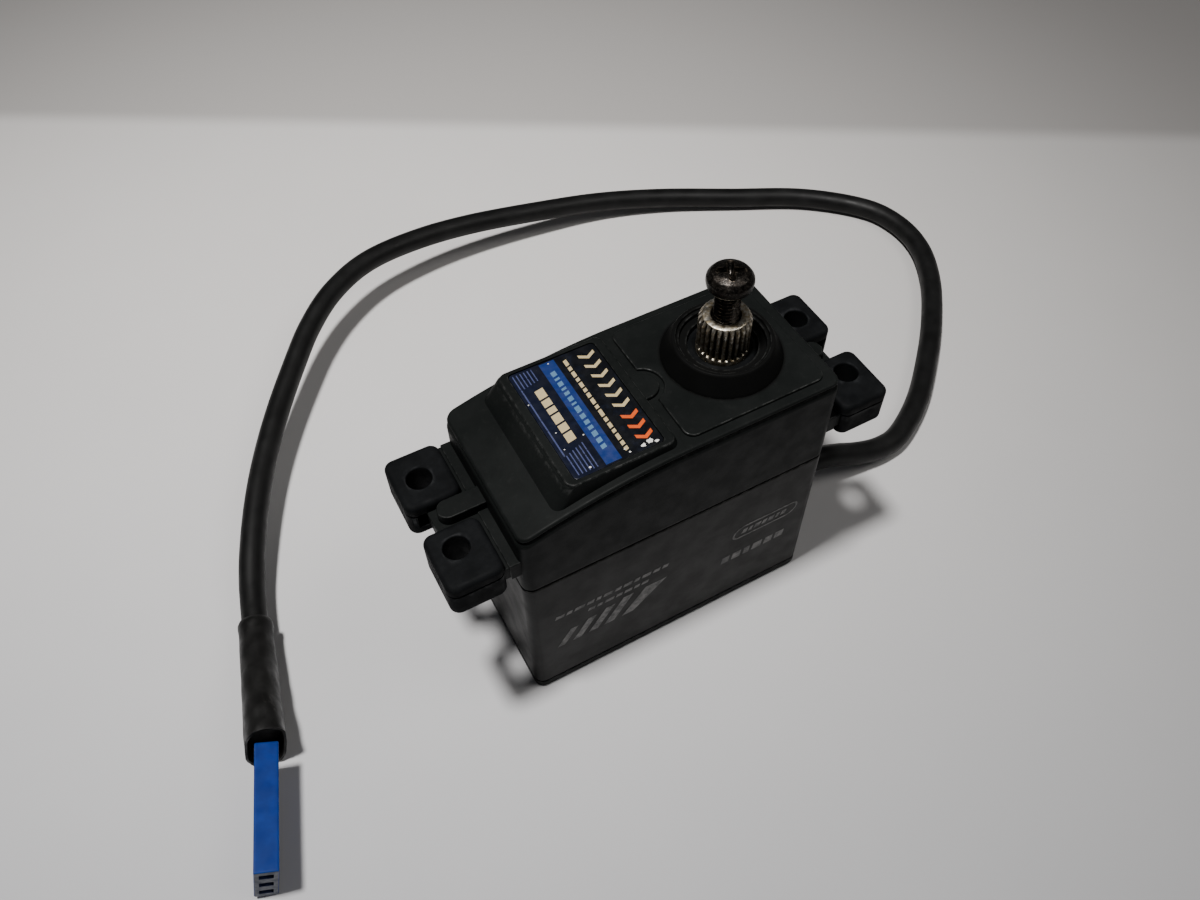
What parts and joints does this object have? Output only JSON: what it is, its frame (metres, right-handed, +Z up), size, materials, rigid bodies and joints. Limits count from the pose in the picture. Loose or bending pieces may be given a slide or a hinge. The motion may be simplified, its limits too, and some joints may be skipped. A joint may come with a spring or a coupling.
{
  "type": "servo motor",
  "caption": "Standard-size digital servo with splined output shaft, rubber ear grommets, sloping black top case, grey aluminium middle case and a lead with a blue three-pin connector.",
  "frame": {"origin": "centre of the bottom cover's rest face", "axes": "+X along the case towards the output shaft's end, +Z up along the output shaft, +Y towards the side opposite the engraved marks"},
  "size_m": [0.1366, 0.0904, 0.0505],
  "materials": {
    "black_case": "fine moulded grain, matt",
    "grey_aluminium": "satin grey-brown anodised",
    "rubber": "matt",
    "cable_jacket": "satin",
    "heat_shrink": "satin, wrinkled",
    "label": "printed film, worn",
    "seal": "matt",
    "steel": "machined",
    "black_steel": "burnished, rubbed",
    "bearing_steel": "ground",
    "brass": "machined",
    "motor_can": "turned",
    "aluminium_cap": "turned",
    "copper": "enamelled wire",
    "magnet": "sintered",
    "circuit_board": "solder mask",
    "chip": "moulded epoxy",
    "blue_plastic": "moulded, satin"
  },
  "bodies": {
    "case": {"bottom_cover": "black_case", "gear_case": "black_case", "top_cover": "black_case", "middle_case": "grey_aluminium", "grommet_rear_right": "rubber", "grommet_rear_left": "rubber", "grommet_front_right": "rubber", "grommet_front_left": "rubber", "cable_gland": "rubber", "shaft_seal": "rubber", "lead_cable": "cable_jacket", "heat_shrink_sleeve": "heat_shrink", "label_plate": "label", "lower_seal": "seal", "upper_seal": "seal", "case_screw_rear_right": "black_steel", "case_screw_rear_left": "black_steel", "case_screw_front_right": "black_steel", "case_screw_front_left": "black_steel", "motor_screw_left": "black_steel", "motor_screw_right": "black_steel", "gear_pin": "bearing_steel", "upper_bearing_outer_race": "bearing_steel", "lower_bearing_outer_race": "bearing_steel", "motor_upper_bearing": "bearing_steel", "motor_lower_bearing": "bearing_steel", "gear_spacer": "brass", "contact_1": "brass", "contact_2": "brass", "contact_3": "brass", "motor_can": "motor_can", "capacitor": "motor_can", "motor_end_cap": "aluminium_cap", "stator_winding": "copper", "control_board": "circuit_board", "controller_chip": "chip", "power_transistor_1": "chip", "power_transistor_2": "chip", "power_transistor_3": "chip", "position_sensor": "chip", "connector_housing": "blue_plastic"},
    "motor_rotor": {"motor_shaft": "bearing_steel", "rotor_magnet": "magnet", "motor_pinion": "brass"},
    "first_gear": {"first_gear": "steel"},
    "second_gear": {"second_gear": "steel"},
    "third_gear": {"third_gear": "steel"},
    "output": {"output_shaft": "steel", "horn_screw": "black_steel", "upper_bearing_inner_race": "bearing_steel", "lower_bearing_inner_race": "bearing_steel", "sensor_shaft": "bearing_steel"}
  },
  "joints": [
    {"name": "motor_spin", "type": "hinge", "parent": "case", "child": "motor_rotor", "pos_m": [-0.0097, 0, 0], "axis": [0, 0, 1], "range_deg": [-9120, 9120]},
    {"name": "first_gear_spin", "type": "hinge", "parent": "case", "child": "first_gear", "pos_m": [0.0003, 0, 0], "axis": [0, 0, 1], "range_deg": [-2280, 2280]},
    {"name": "second_gear_spin", "type": "hinge", "parent": "case", "child": "second_gear", "pos_m": [0.0103, 0, 0], "axis": [0, 0, 1], "range_deg": [-570, 570]},
    {"name": "third_gear_spin", "type": "hinge", "parent": "case", "child": "third_gear", "pos_m": [0.0003, 0, 0], "axis": [0, 0, 1], "range_deg": [-180.01, 180.01]},
    {"name": "output_turn", "type": "hinge", "parent": "case", "child": "output", "pos_m": [0.0103, 0, 0], "axis": [0, 0, 1], "range_deg": [-60.01, 60.01]}
  ],
  "couplings": [
    {"joint": "first_gear_spin", "follows": "motor_spin", "ratio": -0.25},
    {"joint": "second_gear_spin", "follows": "motor_spin", "ratio": 0.0625},
    {"joint": "third_gear_spin", "follows": "motor_spin", "ratio": -0.019737},
    {"joint": "output_turn", "follows": "motor_spin", "ratio": 0.0065789}
  ]
}
